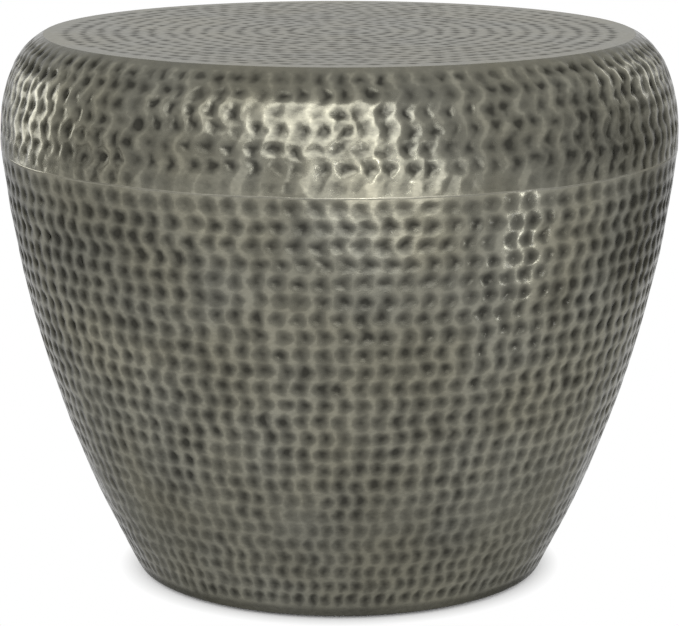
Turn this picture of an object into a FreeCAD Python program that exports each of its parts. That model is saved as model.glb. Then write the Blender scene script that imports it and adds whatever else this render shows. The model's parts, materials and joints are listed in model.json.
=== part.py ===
import FreeCAD, Part
import math
import os

# Drum side table of hammered sheet metal: a tapering body shell and a rounded shoulder shell joined
# at a dressed seam, a flat top disc let into the shoulder, and a stiffened open base on rubber pads.
# Millimetres, +Z up, origin on the floor under the middle of the table.

# Overall sizes
overall_height = 455.5
greatest_diameter = 562.8
base_diameter = 335.0
shoulder_rise = 79.9
shoulder_inset = 36.6
seam_drop = 13.7

# Where the shoulder's two arcs meet, as shares of its rise and its inset from the belly line
shoulder_break_rise_share = 0.665
shoulder_break_inset_share = 0.295

# Sheet and top
sheet_thickness = 1.6
top_disc_thickness = 1.6
top_disc_clearance = 0.3
ledge_width = 18.0

# Seam between the two shells
seam_gap = 1.6
seam_crown = 0.3
seam_band_width = 24.0
seam_band_thickness = 1.6
seam_band_clearance = 0.2

# Bottom edge of the body, rolled round a wire
hem_wire_diameter = 6.0
hem_wire_clearance = 0.1
hem_wrap_angle = 290.0

# Crossed bars under the top
brace_depth = 20.0
brace_thickness = 4.0
brace_end_depth = 8.0
brace_taper_length = 45.0
brace_end_margin = 4.0
brace_clearance = 0.2

# Flat ring inside the base
ring_thickness = 3.0
ring_clearance = 0.3
ring_foot_margin = 7.6

# Welds that hold the inner pieces
disc_weld_leg = 1.6
disc_weld_length = 16.0
disc_weld_count = 8
brace_weld_leg = 3.0
brace_weld_margin = 4.0
ring_weld_leg = 4.0
ring_weld_length = 20.0
ring_weld_count = 12

# Rubber foot pads
foot_count = 6
foot_lift = 2.5
foot_wall = 4.0
foot_taper = 1.5
foot_edge_radius = 1.5
foot_edge_limit_share = 0.4
foot_hem_gap = 3.0

# Screws, washers and nuts of the foot pads
screw_diameter = 5.0
screw_hole_clearance = 0.25
screw_tip_chamfer = 0.6
screw_past_nut = 2.5
screw_head_overhang = 2.25
screw_head_height = 3.7
screw_head_dome = 1.7
screw_head_floor_gap = 1.8
recess_length = 5.0
recess_width = 1.1
recess_depth = 1.8
washer_rim = 3.25
washer_thickness = 1.0
washer_clearance = 0.5
nut_wall = 1.5
nut_height = 4.0
nut_thread_clearance = 0.05

BRACE_END_COUNT = 4
RING_PART_COUNT = 4
NUT_SIDE_COUNT = 6
FULL_TURN = 360.0
ORIGIN = FreeCAD.Vector(0, 0, 0)
UP = FreeCAD.Vector(0, 0, 1)


# Drawing helpers: sections lie in the XZ plane, with x as the radius
def spot(radius, height):
    return FreeCAD.Vector(radius, 0, height)


def on_circle(centre, radius, angle):
    return centre + spot(math.cos(angle), math.sin(angle)) * radius


def angle_to(centre, point):
    away = point - centre
    return math.atan2(away.z, away.x)


def line(start, end):
    return Part.LineSegment(start, end).toShape()


def arc_about(centre, radius, start_angle, end_angle):
    middle_angle = (start_angle + end_angle) / 2
    angles = (start_angle, middle_angle, end_angle)
    return Part.Arc(*[on_circle(centre, radius, angle) for angle in angles]).toShape()


def outline(points):
    return [line(start, end) for start, end in zip(points, points[1:] + points[:1])]


def turned(edges, turn=FULL_TURN):
    return Part.Face(Part.Wire(edges)).revolve(ORIGIN, UP, turn)


def around(shape, angle):
    copy = shape.copy()
    copy.rotate(ORIGIN, UP, angle)
    return copy


def evenly(count, first_share=0):
    return [FULL_TURN * (index + first_share) / count for index in range(count)]


# A thin ring is turned in equal parts, so that it is faceted alike all the way round
def turned_ring(edges):
    part = turned(edges, FULL_TURN / RING_PART_COUNT)
    parts = [around(part, angle) for angle in evenly(RING_PART_COUNT)]
    return parts[0].fuse(parts[1:])


def short_weld(edges, radius, length):
    turn = math.degrees(length / radius)
    return around(turned(edges, turn), -turn / 2)


# Outer line of the drum: two shoulder arcs, the body arc and the hem's roll, each tangent to the next
belly_radius = greatest_diameter / 2
belly_height = overall_height - shoulder_rise
crease = spot(belly_radius - shoulder_inset, overall_height)

break_inset = shoulder_inset * shoulder_break_inset_share
break_rise = shoulder_rise * shoulder_break_rise_share
shoulder_break = spot(belly_radius - break_inset, belly_height + break_rise)

lower_radius = (break_inset**2 + break_rise**2) / (2 * break_inset)
lower_centre = spot(belly_radius - lower_radius, belly_height)
break_angle = angle_to(lower_centre, shoulder_break)

break_normal = (shoulder_break - lower_centre).normalize()
crease_reach = shoulder_break - crease
upper_radius = crease_reach.dot(crease_reach) / (2 * crease_reach.dot(break_normal))
upper_centre = shoulder_break - break_normal * upper_radius
crease_angle = angle_to(upper_centre, crease)

seam_angle = -math.asin(seam_drop / lower_radius)
seam_normal = spot(math.cos(seam_angle), math.sin(seam_angle))
seam = lower_centre + seam_normal * lower_radius

hem_inner_radius = hem_wire_diameter / 2 + hem_wire_clearance
hem_outer_radius = hem_inner_radius + sheet_thickness
hem_centre = spot(base_diameter / 2, foot_lift + hem_outer_radius)
body_reach = seam - hem_centre
body_bulge = 2 * (body_reach.dot(seam_normal) - hem_outer_radius)
body_radius = (body_reach.dot(body_reach) - hem_outer_radius**2) / body_bulge
body_centre = seam - seam_normal * body_radius
hem_angle = angle_to(body_centre, hem_centre)

# Depths below the outer line at which the band behind the seam lies
band_outer_depth = sheet_thickness + seam_band_clearance
band_inner_depth = band_outer_depth + seam_band_thickness

# Half of the seam's gap, and of the band behind it, as angles on the two arcs that meet there
shoulder_edge_angle = seam_angle + seam_gap / 2 / lower_radius
body_edge_angle = seam_angle - seam_gap / 2 / body_radius
band_top_angle = seam_angle + seam_band_width / 2 / lower_radius
band_bottom_angle = seam_angle - seam_band_width / 2 / body_radius

# Levels and radii that several pieces share
ledge_top = overall_height - top_disc_thickness
ledge_bottom = ledge_top - sheet_thickness
top_disc_radius = crease.x - top_disc_clearance
ledge_radius = crease.x - ledge_width
ring_bottom = hem_centre.z + hem_outer_radius
ring_top = ring_bottom + ring_thickness


def body_wall_radius(height):
    rise = height - body_centre.z
    return body_centre.x + math.sqrt((body_radius - sheet_thickness) ** 2 - rise**2)


screw_radius = screw_diameter / 2
screw_hole_radius = screw_radius + screw_hole_clearance
screw_head_radius = screw_radius + screw_head_overhang
washer_radius = screw_hole_radius + washer_rim
washer_seat = washer_thickness + screw_head_height + screw_head_floor_gap
screw_seat = washer_seat - washer_thickness

counterbore_radius = max(washer_radius, screw_head_radius) + washer_clearance
foot_bottom_radius = counterbore_radius + foot_wall
foot_top_radius = foot_bottom_radius + foot_taper
foot_circle_radius = hem_centre.x - hem_outer_radius - foot_hem_gap - foot_top_radius

ring_radius = body_wall_radius(ring_bottom) - ring_clearance
ring_opening_radius = foot_circle_radius - foot_top_radius - ring_foot_margin


# Top disc
def make_top_disc():
    return Part.makeCylinder(top_disc_radius, top_disc_thickness, spot(0, ledge_top))


def make_disc_tack_welds():
    inner = ledge_radius - disc_weld_leg
    section = outline(
        [
            spot(ledge_radius, ledge_top),
            spot(ledge_radius, ledge_top - disc_weld_leg),
            spot(inner, ledge_top),
        ]
    )
    weld = short_weld(section, ledge_radius, disc_weld_length)
    return Part.makeCompound([around(weld, angle) for angle in evenly(disc_weld_count, 1 / 2)])


# Shoulder shell, with the recessed ledge that carries the disc
def make_shoulder_shell():
    inner_lower = lower_radius - sheet_thickness
    inner_upper = upper_radius - sheet_thickness
    ledge_rise = ledge_bottom - upper_centre.z
    ledge_root = spot(upper_centre.x + math.sqrt(inner_upper**2 - ledge_rise**2), ledge_bottom)
    root_angle = angle_to(upper_centre, ledge_root)
    step_foot = spot(crease.x, ledge_top)
    ledge_edge = spot(ledge_radius, ledge_top)
    ledge_corner = spot(ledge_radius, ledge_bottom)
    edge_outer = on_circle(lower_centre, lower_radius, shoulder_edge_angle)
    edge_inner = on_circle(lower_centre, inner_lower, shoulder_edge_angle)
    return turned(
        [
            arc_about(lower_centre, lower_radius, shoulder_edge_angle, break_angle),
            arc_about(upper_centre, upper_radius, break_angle, crease_angle),
            line(crease, step_foot),
            line(step_foot, ledge_edge),
            line(ledge_edge, ledge_corner),
            line(ledge_corner, ledge_root),
            arc_about(upper_centre, inner_upper, root_angle, break_angle),
            arc_about(lower_centre, inner_lower, break_angle, shoulder_edge_angle),
            line(edge_inner, edge_outer),
        ]
    )


# Body shell, with its bottom edge rolled inwards round the wire
def make_body_shell():
    inner_body = body_radius - sheet_thickness
    wrap_end_angle = hem_angle - math.radians(hem_wrap_angle)
    wrap_outer = on_circle(hem_centre, hem_outer_radius, wrap_end_angle)
    wrap_inner = on_circle(hem_centre, hem_inner_radius, wrap_end_angle)
    edge_outer = on_circle(body_centre, body_radius, body_edge_angle)
    edge_inner = on_circle(body_centre, inner_body, body_edge_angle)
    return turned(
        [
            arc_about(body_centre, body_radius, body_edge_angle, hem_angle),
            arc_about(hem_centre, hem_outer_radius, hem_angle, wrap_end_angle),
            line(wrap_outer, wrap_inner),
            arc_about(hem_centre, hem_inner_radius, wrap_end_angle, hem_angle),
            arc_about(body_centre, inner_body, hem_angle, body_edge_angle),
            line(edge_inner, edge_outer),
        ]
    )


def make_hem_wire():
    return Part.makeTorus(hem_centre.x, hem_wire_diameter / 2, spot(0, hem_centre.z))


# Seam: a filler bead in the gap between the shells, and a band that backs it inside
def make_seam_bead():
    inner_lower = lower_radius - band_outer_depth
    inner_body = body_radius - band_outer_depth
    upper_outer = on_circle(lower_centre, lower_radius, shoulder_edge_angle)
    upper_inner = on_circle(lower_centre, inner_lower, shoulder_edge_angle)
    under_outer = on_circle(body_centre, body_radius, body_edge_angle)
    under_inner = on_circle(body_centre, inner_body, body_edge_angle)
    crown = seam + seam_normal * seam_crown
    return turned_ring(
        [
            Part.Arc(under_outer, crown, upper_outer).toShape(),
            line(upper_outer, upper_inner),
            arc_about(lower_centre, inner_lower, shoulder_edge_angle, seam_angle),
            arc_about(body_centre, inner_body, seam_angle, body_edge_angle),
            line(under_inner, under_outer),
        ]
    )


def make_seam_band():
    outer_lower = lower_radius - band_outer_depth
    inner_lower = lower_radius - band_inner_depth
    outer_body = body_radius - band_outer_depth
    inner_body = body_radius - band_inner_depth
    top_outer = on_circle(lower_centre, outer_lower, band_top_angle)
    top_inner = on_circle(lower_centre, inner_lower, band_top_angle)
    bottom_outer = on_circle(body_centre, outer_body, band_bottom_angle)
    bottom_inner = on_circle(body_centre, inner_body, band_bottom_angle)
    return turned_ring(
        [
            arc_about(body_centre, outer_body, band_bottom_angle, seam_angle),
            arc_about(lower_centre, outer_lower, seam_angle, band_top_angle),
            line(top_outer, top_inner),
            arc_about(lower_centre, inner_lower, band_top_angle, seam_angle),
            arc_about(body_centre, inner_body, seam_angle, band_bottom_angle),
            line(bottom_inner, bottom_outer),
        ]
    )


# Two bars on edge under the disc, half-lapped where they cross, with notched ends under the ledge
def make_brace(lap_from_top):
    shoulder = ledge_radius - brace_clearance
    end = crease.x - brace_end_margin
    bottom = ledge_top - brace_depth
    end_bottom = ledge_bottom - brace_end_depth
    taper_start = end - brace_taper_length
    half = [
        spot(taper_start, bottom),
        spot(end, end_bottom),
        spot(end, ledge_bottom),
        spot(shoulder, ledge_bottom),
        spot(shoulder, ledge_top),
    ]
    mirrored = [spot(-point.x, point.z) for point in reversed(half)]
    side = Part.Face(Part.Wire(outline(half + mirrored)))
    side.translate(FreeCAD.Vector(0, -brace_thickness / 2, 0))
    bar = side.extrude(FreeCAD.Vector(0, brace_thickness, 0))
    lap_width = brace_thickness + 2 * brace_clearance
    lap_start = ledge_top - brace_depth / 2 if lap_from_top else bottom
    corner = FreeCAD.Vector(-lap_width / 2, -lap_width / 2, lap_start)
    return bar.cut(Part.makeBox(lap_width, lap_width, brace_depth / 2, corner))


def make_brace_welds():
    side = brace_thickness / 2
    start = ledge_radius + brace_weld_margin
    length = crease.x - brace_end_margin - start
    corners = [
        FreeCAD.Vector(start, side, ledge_bottom),
        FreeCAD.Vector(start, side + brace_weld_leg, ledge_bottom),
        FreeCAD.Vector(start, side, ledge_bottom - brace_weld_leg),
    ]
    face = Part.Face(Part.Wire(outline(corners)))
    weld = face.extrude(FreeCAD.Vector(length, 0, 0))
    pair = [weld, weld.mirror(ORIGIN, FreeCAD.Vector(0, 1, 0))]
    return Part.makeCompound([around(bead, angle) for angle in evenly(BRACE_END_COUNT) for bead in pair])


# Base ring on the roll of the hem, welded to the body wall and drilled for the foot screws
def make_base_ring():
    disc = Part.makeCylinder(ring_radius, ring_thickness, spot(0, ring_bottom))
    opening = Part.makeCylinder(ring_opening_radius, ring_thickness, spot(0, ring_bottom))
    hole = Part.makeCylinder(screw_hole_radius, ring_thickness, spot(foot_circle_radius, ring_bottom))
    holes = [around(hole, angle) for angle in evenly(foot_count)]
    return disc.cut([opening] + holes)


def make_base_ring_welds():
    section = outline(
        [
            spot(ring_radius - ring_weld_leg, ring_top),
            spot(body_wall_radius(ring_top), ring_top),
            spot(body_wall_radius(ring_top + ring_weld_leg), ring_top + ring_weld_leg),
        ]
    )
    weld = short_weld(section, ring_radius, ring_weld_length)
    return Part.makeCompound([around(weld, angle) for angle in evenly(ring_weld_count, 1 / 2)])


# One rubber pad, and its screw, washer and nut, are made on the Z axis and then set out round the ring
def make_foot_pad():
    pad = turned(
        outline(
            [
                spot(counterbore_radius, 0),
                spot(foot_bottom_radius, 0),
                spot(foot_top_radius, ring_bottom),
                spot(screw_hole_radius, ring_bottom),
                spot(screw_hole_radius, washer_seat),
                spot(counterbore_radius, washer_seat),
            ]
        )
    )
    edge_radius = min(foot_edge_radius, foot_wall * foot_edge_limit_share)
    floor_edges = [edge for edge in pad.Edges if edge.BoundBox.ZMax < edge_radius]
    widest = max(floor_edges, key=lambda edge: edge.BoundBox.XMax)
    return pad.makeFillet(edge_radius, [widest])


def make_washer():
    washer = Part.makeCylinder(washer_radius, washer_thickness, spot(0, screw_seat))
    hole = Part.makeCylinder(screw_hole_radius, washer_thickness, spot(0, screw_seat))
    return washer.cut(hole)


def make_screw():
    face = screw_seat - screw_head_height
    rim = spot(screw_head_radius, face + screw_head_dome)
    tip = ring_top + nut_height + screw_past_nut
    dome_radius = (screw_head_radius**2 + screw_head_dome**2) / (2 * screw_head_dome)
    dome_centre = spot(0, face + dome_radius)
    rim_angle = angle_to(dome_centre, rim)
    profile = [
        rim,
        spot(screw_head_radius, screw_seat),
        spot(screw_radius, screw_seat),
        spot(screw_radius, tip - screw_tip_chamfer),
        spot(screw_radius - screw_tip_chamfer, tip),
        spot(0, tip),
        spot(0, face),
    ]
    edges = [line(start, end) for start, end in zip(profile, profile[1:])]
    screw = turned(edges + [arc_about(dome_centre, dome_radius, -math.pi / 2, rim_angle)])
    corner = FreeCAD.Vector(-recess_length / 2, -recess_width / 2, face)
    slot = Part.makeBox(recess_length, recess_width, recess_depth, corner)
    return screw.cut([slot, around(slot, FULL_TURN / 4)])


def make_nut():
    bore_radius = screw_radius + nut_thread_clearance
    flat_radius = screw_radius + nut_wall
    corner_radius = flat_radius / math.cos(math.pi / NUT_SIDE_COUNT)
    chamfer_rise = (corner_radius - flat_radius) * math.tan(math.pi / NUT_SIDE_COUNT)
    corner = Part.Vertex(spot(corner_radius, ring_top))
    corners = [around(corner, angle).Point for angle in evenly(NUT_SIDE_COUNT)]
    prism = Part.Face(Part.Wire(outline(corners))).extrude(UP * nut_height)
    top = ring_top + nut_height
    turning = turned(
        outline(
            [
                spot(bore_radius, ring_top),
                spot(flat_radius, ring_top),
                spot(corner_radius, ring_top + chamfer_rise),
                spot(corner_radius, top - chamfer_rise),
                spot(flat_radius, top),
                spot(bore_radius, top),
            ]
        )
    )
    return prism.common(turning)


def set_out(shape):
    shape.translate(FreeCAD.Vector(foot_circle_radius, 0, 0))
    return [around(shape, angle) for angle in evenly(foot_count)]


pieces = {
    "top_disc": make_top_disc(),
    "disc_tack_welds": make_disc_tack_welds(),
    "top_brace_x": make_brace(lap_from_top=False),
    "top_brace_y": around(make_brace(lap_from_top=True), FULL_TURN / 4),
    "brace_welds": make_brace_welds(),
    "shoulder_shell": make_shoulder_shell(),
    "seam_bead": make_seam_bead(),
    "seam_band": make_seam_band(),
    "body_shell": make_body_shell(),
    "hem_wire": make_hem_wire(),
    "base_ring": make_base_ring(),
    "base_ring_welds": make_base_ring_welds(),
    "foot_washers": Part.makeCompound(set_out(make_washer())),
    "foot_screws": Part.makeCompound(set_out(make_screw())),
    "foot_nuts": Part.makeCompound(set_out(make_nut())),
}
for number, pad in enumerate(set_out(make_foot_pad()), start=1):
    pieces[f"foot_pad_{number}"] = pad

os.makedirs("parts", exist_ok=True)
for node, shape in pieces.items():
    shape.exportStep(f"parts/{node}.step")
    print(f"{node}: {len(shape.Solids)} solids, {shape.Volume:.1f} mm3, valid {shape.isValid()}")
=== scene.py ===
import json
import math

import bpy
import numpy as np
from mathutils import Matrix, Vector


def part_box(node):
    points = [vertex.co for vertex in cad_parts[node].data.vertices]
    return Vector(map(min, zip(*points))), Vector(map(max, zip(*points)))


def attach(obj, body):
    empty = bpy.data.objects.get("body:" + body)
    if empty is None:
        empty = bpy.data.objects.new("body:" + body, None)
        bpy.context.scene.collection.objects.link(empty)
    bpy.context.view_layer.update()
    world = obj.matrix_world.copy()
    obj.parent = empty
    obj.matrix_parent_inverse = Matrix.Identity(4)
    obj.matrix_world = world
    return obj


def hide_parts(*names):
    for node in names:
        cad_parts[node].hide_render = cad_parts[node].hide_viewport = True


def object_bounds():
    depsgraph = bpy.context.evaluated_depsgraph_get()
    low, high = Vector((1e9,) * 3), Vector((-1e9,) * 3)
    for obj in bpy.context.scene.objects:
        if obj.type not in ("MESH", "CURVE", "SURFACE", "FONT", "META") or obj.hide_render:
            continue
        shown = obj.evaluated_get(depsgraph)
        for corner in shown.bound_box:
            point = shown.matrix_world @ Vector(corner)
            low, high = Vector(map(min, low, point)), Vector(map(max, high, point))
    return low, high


# Looks of a drum side table of hammered sheet metal. Metres, +Z up, origin on the floor under the table.

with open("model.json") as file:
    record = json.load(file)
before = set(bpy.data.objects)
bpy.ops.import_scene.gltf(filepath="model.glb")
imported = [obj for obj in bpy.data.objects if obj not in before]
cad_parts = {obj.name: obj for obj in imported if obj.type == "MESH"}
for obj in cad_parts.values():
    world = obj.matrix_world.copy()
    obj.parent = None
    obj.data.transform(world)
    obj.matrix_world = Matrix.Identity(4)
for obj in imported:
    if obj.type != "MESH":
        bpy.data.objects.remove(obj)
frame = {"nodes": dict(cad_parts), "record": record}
cad_low, cad_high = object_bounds()
SEED = 20
TURN = 2 * math.pi
random = np.random.default_rng(SEED)


def colour(red, green, blue):
    return (red, green, blue, 1.0)


# Outer line of the drum: shoulder, seam, sheet and rolled hem
SHOULDER_RISE = 0.0799
SHOULDER_INSET = 0.0366
SHOULDER_BREAK_RISE_SHARE = 0.665
SHOULDER_BREAK_INSET_SHARE = 0.295
SEAM_DROP = 0.0137
SEAM_GAP = 0.0016
SEAM_CROWN = 0.00012
SEAM_BACKING = 0.0018
SEAM_SWAY = 0.0005
SEAM_SWAY_LOBES = (3, 7, 11, 17, 26, 41, 58)
SEAM_RIM_RISE = 0.0004
SEAM_RIM_WIDTH = 0.008
SHEET = 0.0016
LEDGE_WIDTH = 0.018
LEDGE_ROOT_SHARE = 0.25
DISC_GAP = 0.00008
HEM_WIRE_RADIUS = 0.003
HEM_WIRE_CLEARANCE = 0.0001
HEM_WRAP = math.radians(290)
HEM_STEPS = 28

# Hammer marks: rows along the drum's line, measured from the seam, and rings on the disc
MARK_COLUMNS = 104
SHOULDER_FIRST_ROW = 0.0077
SHOULDER_ROW_PITCH = 0.01405
SHOULDER_ROWS = 7
SHOULDER_END_ROW_SHARES = (0.4, 0.75)
BODY_FIRST_ROW = 0.0093
BODY_ROW_PITCH = 0.0146
BODY_ROWS = 25
BODY_END_ROW_SHARES = (0.7, 1.2)
DISC_BORDER = 0.0184
DISC_RING_PITCH = 0.01425
DISC_MARK_PITCH = 0.0149
DISC_BAND_RINGS = 4
DISC_BANDS_END = 0.06
DISC_MARK_DEPTH = 0.0004
DISC_CORE_SHARE = 0.82
CREST_POWER = 6
CORE_POWER = 1.8
MARK_REACH_SHARE = 1.5
LUMP_RISE = 0.00016
DENT_RISE = 0.00005

# Form of the marks and how much they differ, as shares of the pitch or of the mark
SHOULDER_MARK_SHARES = {
    "furrow_width": 0.29, "furrow_height": 0.6, "core_width": 0.2, "core_height": 0.27, "core_rise": 0.2,
    "stagger": 0.3, "drift": 0.06, "stray": 0.075, "depth_spread": 0.24, "size_spread": 0.15, "warp": 0.06}
BODY_MARK_SHARES = {
    "furrow_width": 0.29, "furrow_height": 0.32, "core_width": 0.225, "core_height": 0.29, "core_rise": -0.1,
    "stagger": 0.3, "drift": 0.07, "stray": 0.05, "depth_spread": 0.11, "size_spread": 0.09, "warp": 0.035}
DISC_MARK_SHARES = {
    "furrow_width": 0.3, "furrow_height": 0.28, "core_width": 0.25, "core_height": 0.16, "core_rise": 0.0,
    "stagger": 0.5, "drift": 0.14, "stray": 0.07, "depth_spread": 0.17, "size_spread": 0.12, "warp": 0.0}
DEPTH_LIMIT_SHARES = (0.35, 1.4)
SIZE_LIMIT_SHARES = (0.7, 1.35)

# Waviness: lobes round the drum, lengths along its line and count of waves
WARP_WAVES = {"lobes": (50, 200), "lengths": (0.009, 0.03), "count": 16}
DENT_WAVES = {"lobes": (60, 170), "lengths": (0.009, 0.03), "count": 16}
LUMP_WAVES = {"lobes": (6, 40), "lengths": (0.04, 0.16), "count": 14}
VIGOUR_WAVES = {"lobes": (3, 26), "lengths": (0.05, 0.2), "count": 12}
GROOVE_WAVES = {"lobes": (4, 18), "lengths": (0.05, 0.2), "count": 10}
WEAK_WAVES = {"lobes": (5, 24), "lengths": (0.08, 0.3), "count": 8}

# Depth of furrows and cores on the two shells, and the patina in them, where 1 is the darkest
SHOULDER_FACE = {
    "furrow_depth": 0.0008, "core_depth": 0.0011, "patina": 0.13, "furrow_patina": 0.16, "core_patina": 0.76,
    "slit_patina": 0.55, "plain_patina": 0.18, "plain_full_share": 0.5, "core_power": 1.0}
BODY_FACE = {
    "furrow_depth": 0.0003, "core_depth": 0.0009, "patina": 0.09, "furrow_patina": 0.18, "core_patina": 0.71,
    "slit_patina": 0.1, "plain_patina": 0.42, "plain_full_share": 0.4, "core_power": 1.8}
FURROW_MIDDLE_SHARE = 0.5
VIGOUR_SHARE = 0.1
CREST_START_SHARE = 0.2
CREST_END_SHARE = 0.46
SLIT_START_SHARE = 0.62
SLIT_END_SHARE = 0.95

# Patches of the shoulder with deeper furrows, and one stretch where they are deepest
GROOVE_MEAN_SHARE = 0.4
GROOVE_SWING_SHARE = 0.6
GROOVE_TURN = math.radians(315)
HEAVY_TURN = math.radians(-32)
HEAVY_WIDTH = math.radians(17)
HEAVY_SHARE = 0.8

# Bands without marks at the shells' ends, and the length over which the relief fades out there
PLAIN_END = 0.01
PLAIN_SEAM = 0.004
RELIEF_FADE = 0.0025

# Patina of faces without marks
INNER_PATINA = 0.35
LEDGE_PATINA = 0.5
EDGE_PATINA = 0.6
BEAD_PATINA = 0.25
BEAD_BACK_PATINA = 0.4

# A band low on the body was hammered more lightly in patches, and the lowest part is fainter and darker
WEAK_ARC = 0.28
WEAK_HEIGHT = 0.026
WEAK_SHARE = 0.5
WEAK_PATCH_MEAN_SHARE = 0.5
WEAK_PATCH_SWING_SHARE = 0.5
WEAK_LIMIT_SHARE = 0.85
LOW_START = 0.2
LOW_END = 0.31
LOW_DARKENING = 0.17
LOW_WEAK_SHARE = 0.28

# Stretches of the lower body that were hammered more lightly still, whose lighter tone is also a painted
# sheen: azimuth, width and share
SHALLOW_SHEEN_STRETCHES = (
    (math.radians(-37), math.radians(18), 0.4),
    (math.radians(-143), math.radians(18), 0.4),
)
SHALLOW_SHEEN_START = 0.14
SHALLOW_SHEEN_END = 0.22

# Painted shade: darker stretches of the shoulder and of the upper body, as azimuth, width and how much
# darker
SHOULDER_PAINTED_SHADE = (
    (math.radians(-38), math.radians(18), 0.14),
    (math.radians(-162), math.radians(10), 0.12),
)
SHOULDER_PAINTED_SHADE_START = 0.025
SHOULDER_PAINTED_SHADE_END = 0.045
BODY_PAINTED_SHADE = (
    (math.radians(-30), math.radians(10), 0.22),
    (math.radians(-14), math.radians(11), 0.2),
    (math.radians(-135), math.radians(10), 0.13),
    (math.radians(-166), math.radians(10), 0.28),
)
BODY_PAINTED_SHADE_START = 0.05
BODY_PAINTED_SHADE_END = 0.13

# Mesh density, and how much room each kind of face gets on the bake map for its length
FINE_COLUMNS = 1040
COARSE_COLUMNS = 520
ROW_STEP = 0.00146
COLUMN_CROWDING = 2.2
SHARP_ANGLE = math.radians(42)
BEAD_STEPS = 7
OUTER_MAP_SHARE = 1.0
EDGE_MAP_SHARE = 0.5
INNER_MAP_SHARE = 0.4
BACK_MAP_SHARE = 0.3

# Hammered sheet: tones from crest to hollow, edges as seen at a flat angle, lacquer and roughness
SHELL_LOOK = {
    "tones": (
        colour(0.26, 0.251, 0.2), colour(0.165, 0.16, 0.128), colour(0.112, 0.109, 0.088),
        colour(0.038, 0.037, 0.03)),
    "edges": (colour(0.6, 0.6, 0.6), colour(0.36, 0.36, 0.36)),
    "coat": 0.12, "satin": 0.21, "dull": 0.29}
DISC_LOOK = {
    "tones": (
        colour(0.23, 0.224, 0.193), colour(0.184, 0.179, 0.154), colour(0.134, 0.131, 0.112),
        colour(0.078, 0.076, 0.065)),
    "edges": (colour(0.95, 0.95, 0.94), colour(0.76, 0.76, 0.75)),
    "coat": 0.04, "satin": 0.5, "dull": 0.56}
BEAD_LOOK = {
    "tones": (
        colour(0.275, 0.266, 0.22), colour(0.19, 0.184, 0.153), colour(0.13, 0.126, 0.106),
        colour(0.08, 0.078, 0.064)),
    "edges": (colour(0.4, 0.4, 0.4), colour(0.3, 0.3, 0.3)),
    "coat": 0.12, "satin": 0.21, "dull": 0.29}
TONE_STOPS = (0.05, 0.28, 0.56, 0.98)
EDGE_STOPS = (0.25, 0.8)
WARMTH_STOPS = (0.35, 0.65)
WARMTH_TINTS = (colour(0.99, 1.0, 1.025), colour(1.012, 1.0, 0.965))
COAT_ROUGHNESS = 0.05

# Noise of the hammered sheet, how far it moves the tone, and the bump it makes
NOISE_RANGE = (0.3, 0.7)
CLOUD_NOISE = {"scale": 11.0, "detail": 5.0}
CLOUD_SWING = 0.07
GRAIN_NOISE = {"scale": 300.0, "detail": 5.0, "stretch": (0.7, 0.7, 1.2)}
GRAIN_SWING = 0.06
WARMTH_NOISE = {"scale": 14.0, "detail": 4.0}
ROUGH_DEPTHS = (0.15, 0.8)
DINT_NOISE = {"scale": 330.0, "detail": 3.0}
DINT_DEPTHS = (0.3, 0.9)
DINT_STRENGTHS = (0.08, 0.32)
DINT_HEIGHT = 0.0006
FINE_NOISE = {"scale": 900.0, "detail": 3.0, "stretch": (0.4, 0.4, 1.5)}
FINE_STRENGTH = 0.1
FINE_HEIGHT = 0.0004

# Plain metals of the inner pieces, by material slot
PLAIN_LOOKS = {
    "mill_bar": {
        "pale": colour(0.62, 0.62, 0.61), "dark": colour(0.42, 0.42, 0.42),
        "roughness": 0.38, "stretch": (1, 1, 0.08), "bump_strength": 0.1},
    "weld_metal": {
        "pale": colour(0.55, 0.54, 0.52), "dark": colour(0.3, 0.29, 0.27),
        "roughness": 0.42, "stretch": (1, 1, 1), "bump_strength": 0.6},
    "hem_wire": {
        "pale": colour(0.45, 0.44, 0.43), "dark": colour(0.3, 0.29, 0.28),
        "roughness": 0.32, "stretch": (1, 1, 0.2), "bump_strength": 0.1},
    "zinc_steel": {
        "pale": colour(0.66, 0.66, 0.64), "dark": colour(0.5, 0.51, 0.52),
        "roughness": 0.28, "stretch": (1, 1, 1), "bump_strength": 0.08},
}
STREAK_NOISE = {"scale": 260.0, "detail": 4.0}
DULLING_NOISE = {"scale": 30.0, "detail": 4.0}
PLAIN_STOPS = (0.12, 0.4)
PLAIN_ROUGH_RANGE = (0.1, 0.4)
PLAIN_ROUGH_RISE = 0.12
PLAIN_ROUGH_DROP = 0.06
PLAIN_BUMP_HEIGHT = 0.0003

# Rubber of the pads: dusty tint and fine speckle
SPECKLE_NOISE = {"scale": 500.0, "detail": 3.0}
DUST_NOISE = {"scale": 60.0, "detail": 4.0}
DUST_STOPS = (0.4, 0.7)
DUST_TINTS = (colour(0.022, 0.022, 0.023), colour(0.05, 0.049, 0.047))
RUBBER_ROUGHNESS = (0.6, 0.8)
RUBBER_BUMP_STRENGTH = 0.2
RUBBER_BUMP_HEIGHT = 0.0002

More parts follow.
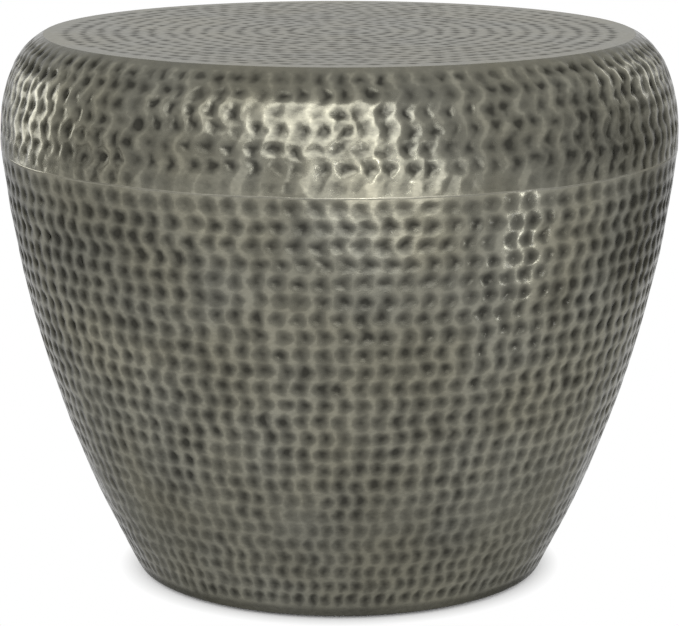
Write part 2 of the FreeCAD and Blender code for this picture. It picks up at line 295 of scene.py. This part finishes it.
# Stage: a pale floor that fades to white, a white surround, soft boxes, two small lamps and two dark flags
WHITE = colour(1, 1, 1)
FLOOR_SIZE = 14.0
FLOOR_COLOUR = colour(0.8, 0.8, 0.8)
STAGE_ROUGHNESS = 0.9
FLOOR_FADE_START = 0.16
FLOOR_FADE_END = 0.188
FILL_STRENGTH = 0.9
FLAG_COLOUR = colour(0.02, 0.02, 0.02)
FLAG_FADE_SHARE = 0.5
FLAGS = (
    {"name": "right_flag", "azimuth": math.radians(10), "reach": 1.9, "size": (1.5, 0.9), "strength": 0.65},
    {"name": "left_flag", "azimuth": math.radians(186), "reach": 1.9, "size": (1.1, 0.6), "strength": 0.8},
)
DRUM_MIDDLE = (0.0, 0.0, 0.35)
BODY_MIDDLE = (0.0, 0.0, 0.22)
SOFT_BOXES = (
    {"name": "front_box", "place": (-0.2, -3.2, 1.9), "aim": DRUM_MIDDLE, "size": (2.3, 2.1), "power": 47.0},
    {"name": "wide_box", "place": (-1.1, -2.8, 2.3), "aim": DRUM_MIDDLE, "size": (3.0, 1.9), "power": 17.5},
    {"name": "low_box", "place": (0.2, -0.95, 0.24), "aim": BODY_MIDDLE, "size": (0.8, 0.5), "power": 1.6,
     "shape": "ELLIPSE"},
    {"name": "low_fill", "place": (-0.5, -0.85, 0.22), "aim": BODY_MIDDLE, "size": (0.6, 0.4), "power": 0.21,
     "shape": "ELLIPSE"},
    {"name": "left_box", "place": (-2.05, 1.43, 0.5), "aim": DRUM_MIDDLE, "size": (1.15, 0.95),
     "power": 11.0},
    {"name": "right_box", "place": (1.84, 1.68, 1.15), "aim": DRUM_MIDDLE, "size": (0.5, 1.1), "power": 3.3},
    {"name": "right_lamp", "place": (0.723, -0.499, 0.05), "aim": DRUM_MIDDLE, "size": (0.05, 0.05),
     "power": 0.09},
    {"name": "spark_lamp", "place": (0.5, -3.0, 0.36), "aim": DRUM_MIDDLE, "size": (0.2, 0.2), "power": 2.6},
)

# Camera at the photograph's viewing angle
CAMERA_DISTANCE = 2.4436
CAMERA_HEIGHT = 0.7292
CAMERA_PITCH = math.radians(11.851)
CAMERA_LENS_MM = 156.48
CAMERA_SENSOR_MM = 36.0


# Drawing helpers: a section is drawn as radius and height
def spot(radius, height):
    return np.array([radius, height])


def heading(angle):
    return np.array([np.cos(angle), np.sin(angle)])


def angle_to(centre, point):
    return math.atan2(point[1] - centre[1], point[0] - centre[0])


# The drum's line, from the frame's sizes
top = cad_high.z
belly_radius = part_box("shoulder_shell")[1].x
wire_low, wire_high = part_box("hem_wire")
hem_inner = HEM_WIRE_RADIUS + HEM_WIRE_CLEARANCE
hem_outer = hem_inner + SHEET
hem_centre = spot(wire_high.x - HEM_WIRE_RADIUS, (wire_low.z + wire_high.z) / 2)

crease = spot(belly_radius - SHOULDER_INSET, top)
break_inset = SHOULDER_INSET * SHOULDER_BREAK_INSET_SHARE
break_rise = SHOULDER_RISE * SHOULDER_BREAK_RISE_SHARE
shoulder_break = spot(belly_radius - break_inset, top - SHOULDER_RISE + break_rise)

lower_radius = (break_inset**2 + break_rise**2) / (2 * break_inset)
lower_centre = spot(belly_radius - lower_radius, top - SHOULDER_RISE)
break_angle = angle_to(lower_centre, shoulder_break)

crease_reach = shoulder_break - crease
upper_radius = crease_reach @ crease_reach / (2 * crease_reach @ heading(break_angle))
upper_centre = shoulder_break - heading(break_angle) * upper_radius
crease_angle = angle_to(upper_centre, crease)

seam_angle = -math.asin(SEAM_DROP / lower_radius)
seam = lower_centre + heading(seam_angle) * lower_radius

body_reach = seam - hem_centre
body_bulge = 2 * (body_reach @ heading(seam_angle) - hem_outer)
body_radius = (body_reach @ body_reach - hem_outer**2) / body_bulge
body_centre = seam - heading(seam_angle) * body_radius
hem_angle = angle_to(body_centre, hem_centre)

shoulder_break_arc = lower_radius * (break_angle - seam_angle)
shoulder_arc = shoulder_break_arc + upper_radius * (crease_angle - break_angle)
body_arc = body_radius * (seam_angle - hem_angle)
disc_radius = crease[0] - DISC_GAP


# Points of the drum's line: arc is the distance from the seam, lift the height above the outer face
def on_arc(centre, radius, angle, lift):
    reach = radius + lift
    return centre[0] + reach * np.cos(angle), centre[1] + reach * np.sin(angle)


def on_shoulder(arc, lift):
    low = on_arc(lower_centre, lower_radius, seam_angle + arc / lower_radius, lift)
    above = break_angle + (arc - shoulder_break_arc) / upper_radius
    high = on_arc(upper_centre, upper_radius, above, lift)
    is_low = arc < shoulder_break_arc
    return np.where(is_low, low[0], high[0]), np.where(is_low, low[1], high[1])


def on_body(arc, lift):
    return on_arc(body_centre, body_radius, seam_angle - arc / body_radius, lift)


# Points across the seam: arc is positive on the shoulder and negative on the body
def on_seam(arc, lift):
    low = on_body(-arc, lift)
    high = on_shoulder(arc, lift)
    return np.where(arc < 0, low[0], high[0]), np.where(arc < 0, low[1], high[1])


# Angles of a ring of so many columns
def turn_angles(columns):
    return TURN * np.arange(columns) / columns


# From 0 to 1 between two places
def rise(value, start, end):
    share = np.clip((value - start) / (end - start), 0, 1)
    return share * share * (3 - 2 * share)


# A soft hump of height 1
def hump(distance, width):
    return np.exp(-((distance / width) ** 2))


# A soft hump round one azimuth
def stretch_at(theta, azimuth, width):
    return hump(np.angle(np.exp(1j * (theta - azimuth))), width)


# What all the stretches of a list add up to
def stretches_at(theta, stretches):
    return sum(amount * stretch_at(theta, azimuth, width) for azimuth, width, amount in stretches)


# Smooth random waviness that closes on itself round the drum, mostly between -1 and 1
class Waves:
    def __init__(self, lobes, lengths, count):
        self.lobes = random.integers(*lobes, count)
        self.turns = TURN / random.uniform(*lengths, count) * random.choice([-1, 1], count)
        self.phases = random.uniform(0, TURN, count)

    def at(self, theta, arc):
        total = 0
        for lobe, turn, phase in zip(self.lobes, self.turns, self.phases):
            total = total + np.cos(lobe * theta + turn * arc + phase)
        return total / math.sqrt(len(self.lobes))


# Random shares round 1, kept within limits
def near_one(spread_share, limits, count):
    return np.clip(random.normal(1, spread_share, count), *limits)


# One set of hammer marks, in rows. Marks of neighbouring rows stand in columns that sway from row to row,
# and thin crests part the columns. Each mark has a darker core
class Marks:
    def __init__(self, places, counts, strengths, pitch, shares):
        self.places = places
        self.counts = counts
        self.pitch = pitch
        self.shares = shares
        rows = len(places)
        self.phases = shares["stagger"] * (np.arange(rows) % 2) + random.normal(0, shares["drift"], rows)
        self.marks = []
        for strength, count in zip(strengths, counts):
            self.marks.append({
                "across": random.normal(0, shares["stray"], count),
                "along": random.normal(0, shares["stray"], count),
                "depth": strength * near_one(shares["depth_spread"], DEPTH_LIMIT_SHARES, count),
                "width": near_one(shares["size_spread"], SIZE_LIMIT_SHARES, count),
                "height": near_one(shares["size_spread"], SIZE_LIMIT_SHARES, count),
            })

    # How far a column stands from its plain place, at a level between a row and its neighbours
    def sway(self, row, level):
        total = self.phases[row]
        for step in (-1, 1):
            other = row + step
            if 0 <= other < len(self.places) and self.counts[other] == self.counts[row]:
                total = total + (self.phases[other] - self.phases[row]) * rise(step * level, 0, 1)
        return total

    # How deep each point lies between the crests, and how deep in a core, as shares
    def at(self, theta, arc):
        theta, arc = np.broadcast_arrays(theta, arc)
        shares = self.shares
        skew_across = shares["warp"] * warp_across.at(theta, arc)
        skew_along = shares["warp"] * warp_along.at(theta, arc)
        furrow = np.zeros(theta.shape)
        core = np.zeros(theta.shape)
        for row, (place, count, marks) in enumerate(zip(self.places, self.counts, self.marks)):
            level = (arc - place) / self.pitch
            near = np.abs(level).min(axis=1) < MARK_REACH_SHARE
            if not near.any():
                continue
            level = level[near]
            turn = theta[near] / TURN * count - self.sway(row, level) + skew_across[near]
            for step in (0, 1):
                index = np.floor(turn) + step
                mark = index.astype(int) % count
                across = (turn - index - marks["across"][mark]) / marks["width"][mark]
                along = (level + skew_along[near] - marks["along"][mark]) / marks["height"][mark]
                reach = (across / shares["furrow_width"]) ** 2 + (along / shares["furrow_height"]) ** 2
                furrow[near] += np.exp(-reach / 2) ** CREST_POWER
                wide = np.abs(across / shares["core_width"]) ** CORE_POWER
                tall = np.abs(along / shares["core_height"] - shares["core_rise"]) ** CORE_POWER
                core[near] += (marks["depth"][mark] * np.exp(-(wide + tall) / 2)) ** CREST_POWER
        return furrow ** (1 / CREST_POWER), core ** (1 / CREST_POWER)


# Strength of each row, which differs only in the first and the last
def row_strengths(count, first, last):
    strengths = np.ones(count)
    strengths[0] = first
    strengths[-1] = last
    return strengths


warp_across = Waves(**WARP_WAVES)
warp_along = Waves(**WARP_WAVES)
dents = Waves(**DENT_WAVES)
lumps = Waves(**LUMP_WAVES)
vigour = Waves(**VIGOUR_WAVES)
groove_patches = Waves(**GROOVE_WAVES)
weak_patches = Waves(**WEAK_WAVES)
shoulder_marks = Marks(
    SHOULDER_FIRST_ROW + SHOULDER_ROW_PITCH * np.arange(SHOULDER_ROWS),
    [MARK_COLUMNS] * SHOULDER_ROWS,
    row_strengths(SHOULDER_ROWS, *SHOULDER_END_ROW_SHARES),
    SHOULDER_ROW_PITCH,
    SHOULDER_MARK_SHARES,
)
body_marks = Marks(
    BODY_FIRST_ROW + BODY_ROW_PITCH * np.arange(BODY_ROWS),
    [MARK_COLUMNS] * BODY_ROWS,
    row_strengths(BODY_ROWS, *BODY_END_ROW_SHARES),
    BODY_ROW_PITCH,
    BODY_MARK_SHARES,
)

# Rings of the disc: the outer ones stand in bands of equal counts, and the inner ones have their own counts
disc_rings = np.arange(disc_radius - DISC_BORDER, DISC_RING_PITCH / 2, -DISC_RING_PITCH)
ring_order = np.arange(len(disc_rings))
disc_bands = np.where(disc_rings > DISC_BANDS_END, ring_order // DISC_BAND_RINGS, ring_order)
disc_marks = Marks(
    disc_rings,
    [round(TURN * disc_rings[disc_bands == band].mean() / DISC_MARK_PITCH) for band in disc_bands],
    np.ones(len(disc_rings)),
    DISC_RING_PITCH,
    DISC_MARK_SHARES,
)


# Mesh helpers: a piece is turned from strips of rings, and each strip may have its own count of columns
def strip(points, patina):
    radius, height = np.broadcast_arrays(*points)
    return radius, height, np.broadcast_to(patina, radius.shape)


def ring_of(radius, height, columns, patina):
    ones = np.ones((1, columns))
    return strip((radius * ones, height * ones), patina)


def ramp_rows(start, end, count):
    share = np.linspace(0, 1, count)[:, None]
    return start + (end - start) * share


# Corners of the faces between two rings with as many columns, twice or half as many, or one point
def ring_corners(first, second):
    if first == second:
        col = np.arange(first)
        return [[(0, col), (0, col + 1), (1, col + 1), (1, col)]]
    if second == 1:
        col = np.arange(first)
        return [[(0, col), (0, col + 1), (1, 0 * col)]]
    if first == 1:
        col = np.arange(second)
        return [[(0, 0 * col), (1, col + 1), (1, col)]]
    if first == 2 * second:
        col = np.arange(second)
        return [
            [(0, 2 * col), (0, 2 * col + 1), (1, col)],
            [(0, 2 * col + 1), (1, col + 1), (1, col)],
            [(0, 2 * col + 1), (0, 2 * col + 2), (1, col + 1)],
        ]
    col = np.arange(first)
    return [
        [(0, col), (0, col + 1), (1, 2 * col + 1)],
        [(0, col), (1, 2 * col + 1), (1, 2 * col)],
        [(0, col + 1), (1, 2 * col + 2), (1, 2 * col + 1)],
    ]


# A mesh with its patina and a map that unrolls it, with as much room for each strip as its map share says
def turned_piece(name, strips, material, closed, map_shares):
    points, patina, counts, levels = [], [], [], [0.0]
    previous = None
    for map_share, (radius, height, shade) in zip(map_shares, strips):
        theta = turn_angles(radius.shape[1])
        for r, z, p in zip(radius, height, shade):
            counts.append(len(theta))
            points.append(np.column_stack([r * np.cos(theta), r * np.sin(theta), z]))
            patina.append(p)
            here = spot(r[0], z[0])
            if previous is not None:
                levels.append(levels[-1] + map_share * np.linalg.norm(here - previous))
            previous = here
    starts = np.concatenate([[0], np.cumsum(counts)])
    order = list(range(len(counts)))
    if closed:
        order.append(0)
        first = spot(strips[0][0][0, 0], strips[0][1][0, 0])
        levels.append(levels[-1] + np.linalg.norm(previous - first))
    faces, maps = [], []
    for place, pair in enumerate(zip(order, order[1:])):
        for corners in ring_corners(counts[pair[0]], counts[pair[1]]):
            faces.append(np.column_stack([
                starts[pair[side]] + col % counts[pair[side]] for side, col in corners]))
            maps.append(np.stack([
                np.column_stack([
                    col / counts[pair[side]], np.full(len(col), levels[place + side] / levels[-1])])
                for side, col in corners], axis=1))
    mesh = bpy.data.meshes.new(name)
    mesh.from_pydata(np.vstack(points).tolist(), [], [face for block in faces for face in block.tolist()])
    attribute = mesh.attributes.new("patina", "FLOAT", "POINT")
    attribute.data.foreach_set("value", np.concatenate(patina).astype(np.float32))
    layer = mesh.uv_layers.new(name="OFBake")
    layer.data.foreach_set("uv", np.concatenate([block.reshape(-1) for block in maps]).astype(np.float32))
    mesh.polygons.foreach_set("use_smooth", np.ones(len(mesh.polygons), bool))
    mesh.set_sharp_from_angle(angle=SHARP_ANGLE)
    mesh.materials.append(material)
    mesh.update()
    piece = bpy.data.objects.new(name, mesh)
    bpy.context.scene.collection.objects.link(piece)
    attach(piece, "root")
    return piece


# Node helpers
def socket(sockets, key):
    return next(s for s in sockets if key in (s.identifier, s.name))


def feed(tree, target, value):
    if isinstance(value, bpy.types.NodeSocket):
        tree.links.new(value, target)
    else:
        target.default_value = value


def add(tree, kind, inputs=None, **settings):
    node = tree.nodes.new("ShaderNode" + kind)
    for key, value in settings.items():
        setattr(node, key, value)
    for key, value in (inputs or {}).items():
        feed(tree, socket(node.inputs, key), value)
    return node


# New stops are added in the middle of the ramp and then moved to their places
def ramp(tree, factor, places, tints):
    node = add(tree, "ValToRGB", {"Fac": factor})
    elements = node.color_ramp.elements
    while len(elements) < len(places):
        elements.new(1 / 2)
    for element, place, tint in zip(elements, places, tints):
        element.position = place
        element.color = tint
    return node.outputs["Color"]


def spread(tree, value, low, high, to_low, to_high):
    node = add(tree, "MapRange", {
        "Value": value, "From Min": low, "From Max": high, "To Min": to_low, "To Max": to_high})
    return node.outputs["Result"]


def math_node(tree, operation, first, second):
    node = add(tree, "Math", operation=operation)
    for target, value in zip(node.inputs, (first, second)):
        feed(tree, target, value)
    return node.outputs[0]


def noise(tree, scale, detail, stretch=(1, 1, 1)):
    coordinates = add(tree, "TexCoord").outputs["Object"]
    mapping = add(tree, "Mapping", {"Vector": coordinates, "Scale": stretch})
    return add(tree, "TexNoise", {
        "Vector": mapping.outputs["Vector"], "Scale": scale, "Detail": detail}).outputs["Fac"]


# Distance of a point from the middle of its object, in the object's own units
def from_middle(tree):
    length = add(tree, "VectorMath", operation="LENGTH")
    tree.links.new(add(tree, "TexCoord").outputs["Object"], length.inputs[0])
    return length.outputs["Value"]


def new_material(name):
    material = bpy.data.materials.new(name)
    material.use_nodes = True
    tree = material.node_tree
    return material, tree, tree.nodes["Principled BSDF"]


# Hammered sheet: dark dull patina in the hollows, paler rubbed metal on the crests, satin lacquer
def hammered_metal(name, tones, edges, coat, satin, dull):
    material, tree, shader = new_material(name)
    patina = add(tree, "Attribute", attribute_name="patina").outputs["Fac"]
    cloud = spread(tree, noise(tree, **CLOUD_NOISE), *NOISE_RANGE, -CLOUD_SWING, CLOUD_SWING)
    grain = spread(tree, noise(tree, **GRAIN_NOISE), *NOISE_RANGE, -GRAIN_SWING, GRAIN_SWING)
    depth = math_node(tree, "ADD", math_node(tree, "ADD", patina, cloud), grain)
    tone = ramp(tree, depth, TONE_STOPS, tones)
    warmth = ramp(tree, noise(tree, **WARMTH_NOISE), WARMTH_STOPS, WARMTH_TINTS)
    tint = add(tree, "Mix", {"Factor_Float": 1.0, "A_Color": tone, "B_Color": warmth},
               data_type="RGBA", blend_type="MULTIPLY")
    tree.links.new(socket(tint.outputs, "Result_Color"), shader.inputs["Base Color"])
    rough = math_node(tree, "ADD", spread(tree, depth, *ROUGH_DEPTHS, satin, dull), grain)
    tree.links.new(rough, shader.inputs["Roughness"])
    dint_strength = spread(tree, depth, *DINT_DEPTHS, *DINT_STRENGTHS)
    dints = add(tree, "Bump", {
        "Height": noise(tree, **DINT_NOISE), "Strength": dint_strength, "Distance": DINT_HEIGHT})
    bump = add(tree, "Bump", {
        "Height": noise(tree, **FINE_NOISE), "Strength": FINE_STRENGTH, "Distance": FINE_HEIGHT,
        "Normal": dints.outputs["Normal"]})
    tree.links.new(bump.outputs["Normal"], shader.inputs["Normal"])
    tree.links.new(ramp(tree, depth, EDGE_STOPS, edges), shader.inputs["Specular Tint"])
    shader.inputs["Metallic"].default_value = 1.0
    shader.inputs["Coat Weight"].default_value = coat
    shader.inputs["Coat Roughness"].default_value = COAT_ROUGHNESS
    return material


# Plain metal of the inner pieces: streaks along one way, with cloudy dulling
def plain_metal(name, pale, dark, roughness, stretch, bump_strength):
    material, tree, shader = new_material(name)
    streak = noise(tree, **STREAK_NOISE, stretch=stretch)
    mixed = math_node(tree, "MULTIPLY", streak, noise(tree, **DULLING_NOISE))
    tree.links.new(ramp(tree, mixed, PLAIN_STOPS, (dark, pale)), shader.inputs["Base Color"])
    rough = spread(
        tree, mixed, *PLAIN_ROUGH_RANGE, roughness + PLAIN_ROUGH_RISE, roughness - PLAIN_ROUGH_DROP)
    tree.links.new(rough, shader.inputs["Roughness"])
    bump = add(tree, "Bump", {"Height": streak, "Strength": bump_strength, "Distance": PLAIN_BUMP_HEIGHT})
    tree.links.new(bump.outputs["Normal"], shader.inputs["Normal"])
    shader.inputs["Metallic"].default_value = 1.0
    return material


def rubber(name):
    material, tree, shader = new_material(name)
    dust = noise(tree, **DUST_NOISE)
    tree.links.new(ramp(tree, dust, DUST_STOPS, DUST_TINTS), shader.inputs["Base Color"])
    tree.links.new(spread(tree, dust, *NOISE_RANGE, *RUBBER_ROUGHNESS), shader.inputs["Roughness"])
    bump = add(tree, "Bump", {
        "Height": noise(tree, **SPECKLE_NOISE), "Strength": RUBBER_BUMP_STRENGTH,
        "Distance": RUBBER_BUMP_HEIGHT})
    tree.links.new(bump.outputs["Normal"], shader.inputs["Normal"])
    return material


shell_metal = hammered_metal("hammered_shell", **SHELL_LOOK)
disc_metal = hammered_metal("hammered_disc", **DISC_LOOK)
bead_metal = hammered_metal("seam_bead", **BEAD_LOOK)

# Seam: both shells are trimmed along the same slightly swaying line, and the bead follows it
sway_phases = random.uniform(0, TURN, len(SEAM_SWAY_LOBES))


def seam_sway(columns):
    theta = turn_angles(columns)
    total = sum(
        np.cos(lobe * theta + phase) / math.sqrt(lobe) for lobe, phase in zip(SEAM_SWAY_LOBES, sway_phases))
    return SEAM_SWAY * total[None, :]


# Height of the hammered face above the plain sheet, and how much patina lies there
def hammered_face(theta, arc, edge, end, marks, face, grooved, weakness_and_sheen):
    furrow, core = marks.at(theta, arc)
    hollow = core * (1 + VIGOUR_SHARE * vigour.at(theta, arc)) * (1 - weakness_and_sheen)
    rim = SEAM_RIM_RISE * np.exp((edge - arc) / SEAM_RIM_WIDTH)
    plain = rise(arc, end - PLAIN_END, end - PLAIN_END * face["plain_full_share"])
    inside = np.minimum(1, (end - arc) / RELIEF_FADE) * rise(arc, edge, PLAIN_SEAM)
    level = face["furrow_depth"] * grooved * (FURROW_MIDDLE_SHARE - furrow)
    level = level - face["core_depth"] * hollow ** face["core_power"]
    level = level + LUMP_RISE * lumps.at(theta, arc) + DENT_RISE * dents.at(theta, arc)
    between = rise(furrow, CREST_START_SHARE, CREST_END_SHARE) * (1 - plain)
    slit = rise(furrow, SLIT_START_SHARE, SLIT_END_SHARE) * grooved * (1 - plain)
    patina = face["patina"] + face["furrow_patina"] * between + np.maximum(
        face["core_patina"] * hollow, face["slit_patina"] * slit)
    return rim + level * inside, patina + face["plain_patina"] * plain


def make_shoulder():
    theta = turn_angles(FINE_COLUMNS)[None, :]
    edge = SEAM_GAP / 2 + seam_sway(FINE_COLUMNS)
    arc = ramp_rows(edge, shoulder_arc, round(shoulder_arc / ROW_STEP))
    heavy = HEAVY_SHARE * stretch_at(theta, HEAVY_TURN, HEAVY_WIDTH)
    patches = groove_patches.at(theta + GROOVE_TURN, arc)
    grooved = np.clip(GROOVE_MEAN_SHARE + GROOVE_SWING_SHARE * patches + heavy, 0, 1)
    lift, patina = hammered_face(theta, arc, edge, shoulder_arc, shoulder_marks, SHOULDER_FACE, grooved, 0)
    # Painted shade: darker stretches added to the shoulder's tone
    dull = stretches_at(theta, SHOULDER_PAINTED_SHADE) * (1 - rise(arc, SHOULDER_PAINTED_SHADE_START, SHOULDER_PAINTED_SHADE_END))
    outer = strip(on_shoulder(arc, lift), patina + dull)
    inner_arc = np.minimum(arc[::-2, ::2], shoulder_arc - LEDGE_ROOT_SHARE * LEDGE_WIDTH)
    inner = strip(on_shoulder(inner_arc, lift[::-2, ::2] - SHEET), INNER_PATINA)
    ledge_radius = crease[0] - LEDGE_WIDTH
    step = ring_of(crease[0], top - SHEET, COARSE_COLUMNS, EDGE_PATINA)
    lip = ring_of(ledge_radius, top - SHEET, COARSE_COLUMNS, LEDGE_PATINA)
    under = ring_of(ledge_radius, top - 2 * SHEET, COARSE_COLUMNS, LEDGE_PATINA)
    piece = turned_piece(
        "shoulder", [outer, step, lip, under, inner], shell_metal, True,
        [OUTER_MAP_SHARE, EDGE_MAP_SHARE, EDGE_MAP_SHARE, EDGE_MAP_SHARE, INNER_MAP_SHARE])
    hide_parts("shoulder_shell")


def make_body():
    theta = turn_angles(FINE_COLUMNS)[None, :]
    edge = SEAM_GAP / 2 - seam_sway(FINE_COLUMNS)
    arc = ramp_rows(body_arc, edge, round(body_arc / ROW_STEP))
    patches = np.clip(WEAK_PATCH_MEAN_SHARE + WEAK_PATCH_SWING_SHARE * weak_patches.at(theta, arc), 0, 1)
    low = rise(arc, LOW_START, LOW_END)
    weakness_and_sheen = WEAK_SHARE * hump(arc - WEAK_ARC, WEAK_HEIGHT) * patches + LOW_WEAK_SHARE * low
    # Shallower marks, and a painted sheen in the lighter tone, in the stretches of the lower body
    weakness_and_sheen = weakness_and_sheen + stretches_at(theta, SHALLOW_SHEEN_STRETCHES) * rise(arc, SHALLOW_SHEEN_START, SHALLOW_SHEEN_END)
    weakness_and_sheen = np.minimum(weakness_and_sheen, WEAK_LIMIT_SHARE)
    lift, patina = hammered_face(theta, arc, edge, body_arc, body_marks, BODY_FACE, 1, weakness_and_sheen)
    # Painted shade: darker stretches added to the upper body's tone
    dull = stretches_at(theta, BODY_PAINTED_SHADE) * (1 - rise(arc, BODY_PAINTED_SHADE_START, BODY_PAINTED_SHADE_END))
    outer = strip(on_body(arc, lift), patina + LOW_DARKENING * low + dull)
    inner = strip(on_body(arc[::-2, ::2], lift[::-2, ::2] - SHEET), INNER_PATINA)
    wrap = ramp_rows(hem_angle, hem_angle - HEM_WRAP, HEM_STEPS) * np.ones((1, COARSE_COLUMNS))
    curl_inner = strip(on_arc(hem_centre, hem_inner, wrap[1:], 0), INNER_PATINA)
    curl_outer = strip(on_arc(hem_centre, hem_outer, wrap[:0:-1], 0), EDGE_PATINA)
    piece = turned_piece(
        "body", [outer, inner, curl_inner, curl_outer], shell_metal, True,
        [OUTER_MAP_SHARE, INNER_MAP_SHARE, EDGE_MAP_SHARE, OUTER_MAP_SHARE])
    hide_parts("body_shell")


def make_bead():
    sway = seam_sway(FINE_COLUMNS)
    share = np.linspace(-1, 1, BEAD_STEPS)[:, None]
    crown = 1 - share**2
    lift = SEAM_RIM_RISE + SEAM_CROWN * crown
    face = strip(on_seam(share * SEAM_GAP / 2 + sway, lift), BEAD_PATINA * crown)
    back = strip(on_seam(share[::-1] * SEAM_GAP / 2 + sway, -SEAM_BACKING), BEAD_BACK_PATINA)
    piece = turned_piece("bead", [face, back], bead_metal, True, [OUTER_MAP_SHARE, BACK_MAP_SHARE])
    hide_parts("seam_bead")


# The disc is made of rings with fewer columns towards its middle, and ends in one point there
def make_disc():
    under, above = [], []
    for radius in np.linspace(disc_radius, 0, round(disc_radius / ROW_STEP) + 1):
        columns = FINE_COLUMNS
        while columns % 2 == 0 and TURN * radius / columns < ROW_STEP / COLUMN_CROWDING:
            columns = columns // 2
        if radius == 0:
            columns = 1
        theta = turn_angles(columns)[None, :]
        level = np.full((1, columns), radius)
        furrow, core = disc_marks.at(theta, level)
        hollow = DISC_CORE_SHARE * core + (1 - DISC_CORE_SHARE) * furrow
        above.append(strip((level, top - DISC_MARK_DEPTH * hollow), hollow))
        under.append(strip((level, top - SHEET - DISC_MARK_DEPTH * hollow), INNER_PATINA))
    rings = under[::-1] + above
    piece = turned_piece("disc", rings, disc_metal, False, [OUTER_MAP_SHARE] * len(rings))
    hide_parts("top_disc")


make_shoulder()
make_body()
make_bead()
make_disc()

# Materials of the CAD nodes that stay as they are
slot_materials = {slot: plain_metal(slot, **look) for slot, look in PLAIN_LOOKS.items()}
slot_materials["pad_rubber"] = rubber("pad_rubber")
for subpart in frame["record"]["subparts"]:
    if subpart["material_slot"] in slot_materials:
        slots = frame["nodes"][subpart["node"]].data.materials
        slots.clear()
        slots.append(slot_materials[subpart["material_slot"]])


# Stage helpers: floor and surround are white where they are seen, directly or in the metal
def seen_directly(tree):
    path = add(tree, "LightPath").outputs
    shown = math_node(tree, "MAXIMUM", path["Is Camera Ray"], path["Is Glossy Ray"])
    return math_node(tree, "MAXIMUM", shown, path["Is Transmission Ray"])


def mix_into(tree, output, share, first, second):
    mixed = add(tree, "MixShader", {"Fac": share})
    tree.links.new(first, mixed.inputs[1])
    tree.links.new(second, mixed.inputs[2])
    tree.links.new(mixed.outputs["Shader"], tree.nodes[output].inputs["Surface"])


def make_floor():
    bpy.ops.mesh.primitive_plane_add(size=FLOOR_SIZE)
    floor = bpy.context.object
    floor.name = "floor"
    material, tree, shader = new_material("floor")
    shader.inputs["Base Color"].default_value = FLOOR_COLOUR
    shader.inputs["Roughness"].default_value = STAGE_ROUGHNESS
    shader.inputs["Specular IOR Level"].default_value = 0
    fade = spread(tree, from_middle(tree), FLOOR_FADE_START, FLOOR_FADE_END, 0, 1)
    white = add(tree, "Emission", {"Color": WHITE, "Strength": 1.0})
    share = math_node(tree, "MULTIPLY", fade, seen_directly(tree))
    mix_into(tree, "Material Output", share, shader.outputs["BSDF"], white.outputs["Emission"])
    floor.data.materials.append(material)


def make_world():
    world = bpy.data.worlds.new("studio")
    bpy.context.scene.world = world
    world.use_nodes = True
    tree = world.node_tree
    fill = tree.nodes["Background"]
    fill.inputs["Color"].default_value = WHITE
    fill.inputs["Strength"].default_value = FILL_STRENGTH
    white = add(tree, "Background", {"Color": WHITE, "Strength": 1.0})
    mix_into(
        tree, "World Output", seen_directly(tree), fill.outputs["Background"], white.outputs["Background"])


def soft_box(name, place, aim, size, power, shape="RECTANGLE"):
    light = bpy.data.lights.new(name, "AREA")
    light.shape = shape
    light.size, light.size_y = size
    light.energy = power
    lamp = bpy.data.objects.new(name, light)
    lamp.location = place
    lamp.rotation_mode = "QUATERNION"
    lamp.rotation_quaternion = (Vector(aim) - Vector(place)).to_track_quat("-Z", "Y")
    lamp.visible_camera = False
    bpy.context.scene.collection.objects.link(lamp)


# A dark flag with soft edges that stands beside the drum, seen only in the metal
def dark_flag(name, azimuth, reach, size, strength):
    width, height = size
    bpy.ops.mesh.primitive_plane_add(size=1)
    flag = bpy.context.object
    flag.name = name
    flag.scale = (width, height, 1)
    flag.location = (reach * math.cos(azimuth), reach * math.sin(azimuth), height / 2)
    flag.rotation_euler = (math.pi / 2, 0, azimuth + math.pi / 2)
    material, tree, shader = new_material(name)
    shader.inputs["Base Color"].default_value = FLAG_COLOUR
    shader.inputs["Roughness"].default_value = STAGE_ROUGHNESS
    tree.links.new(spread(tree, from_middle(tree), 0, FLAG_FADE_SHARE, strength, 0), shader.inputs["Alpha"])
    flag.data.materials.append(material)
    flag.visible_camera = False
    flag.visible_diffuse = False
    flag.visible_shadow = False


def make_camera():
    camera = bpy.data.objects.new("camera", bpy.data.cameras.new("camera"))
    camera.data.lens = CAMERA_LENS_MM
    camera.data.sensor_width = CAMERA_SENSOR_MM
    camera.location = (0, -CAMERA_DISTANCE, CAMERA_HEIGHT)
    camera.rotation_euler = (math.pi / 2 - CAMERA_PITCH, 0, 0)
    bpy.context.scene.collection.objects.link(camera)
    bpy.context.scene.camera = camera


make_floor()
make_world()
for flag_values in FLAGS:
    dark_flag(**flag_values)
for box_values in SOFT_BOXES:
    soft_box(**box_values)
make_camera()
bpy.context.scene.view_settings.view_transform = "Standard"
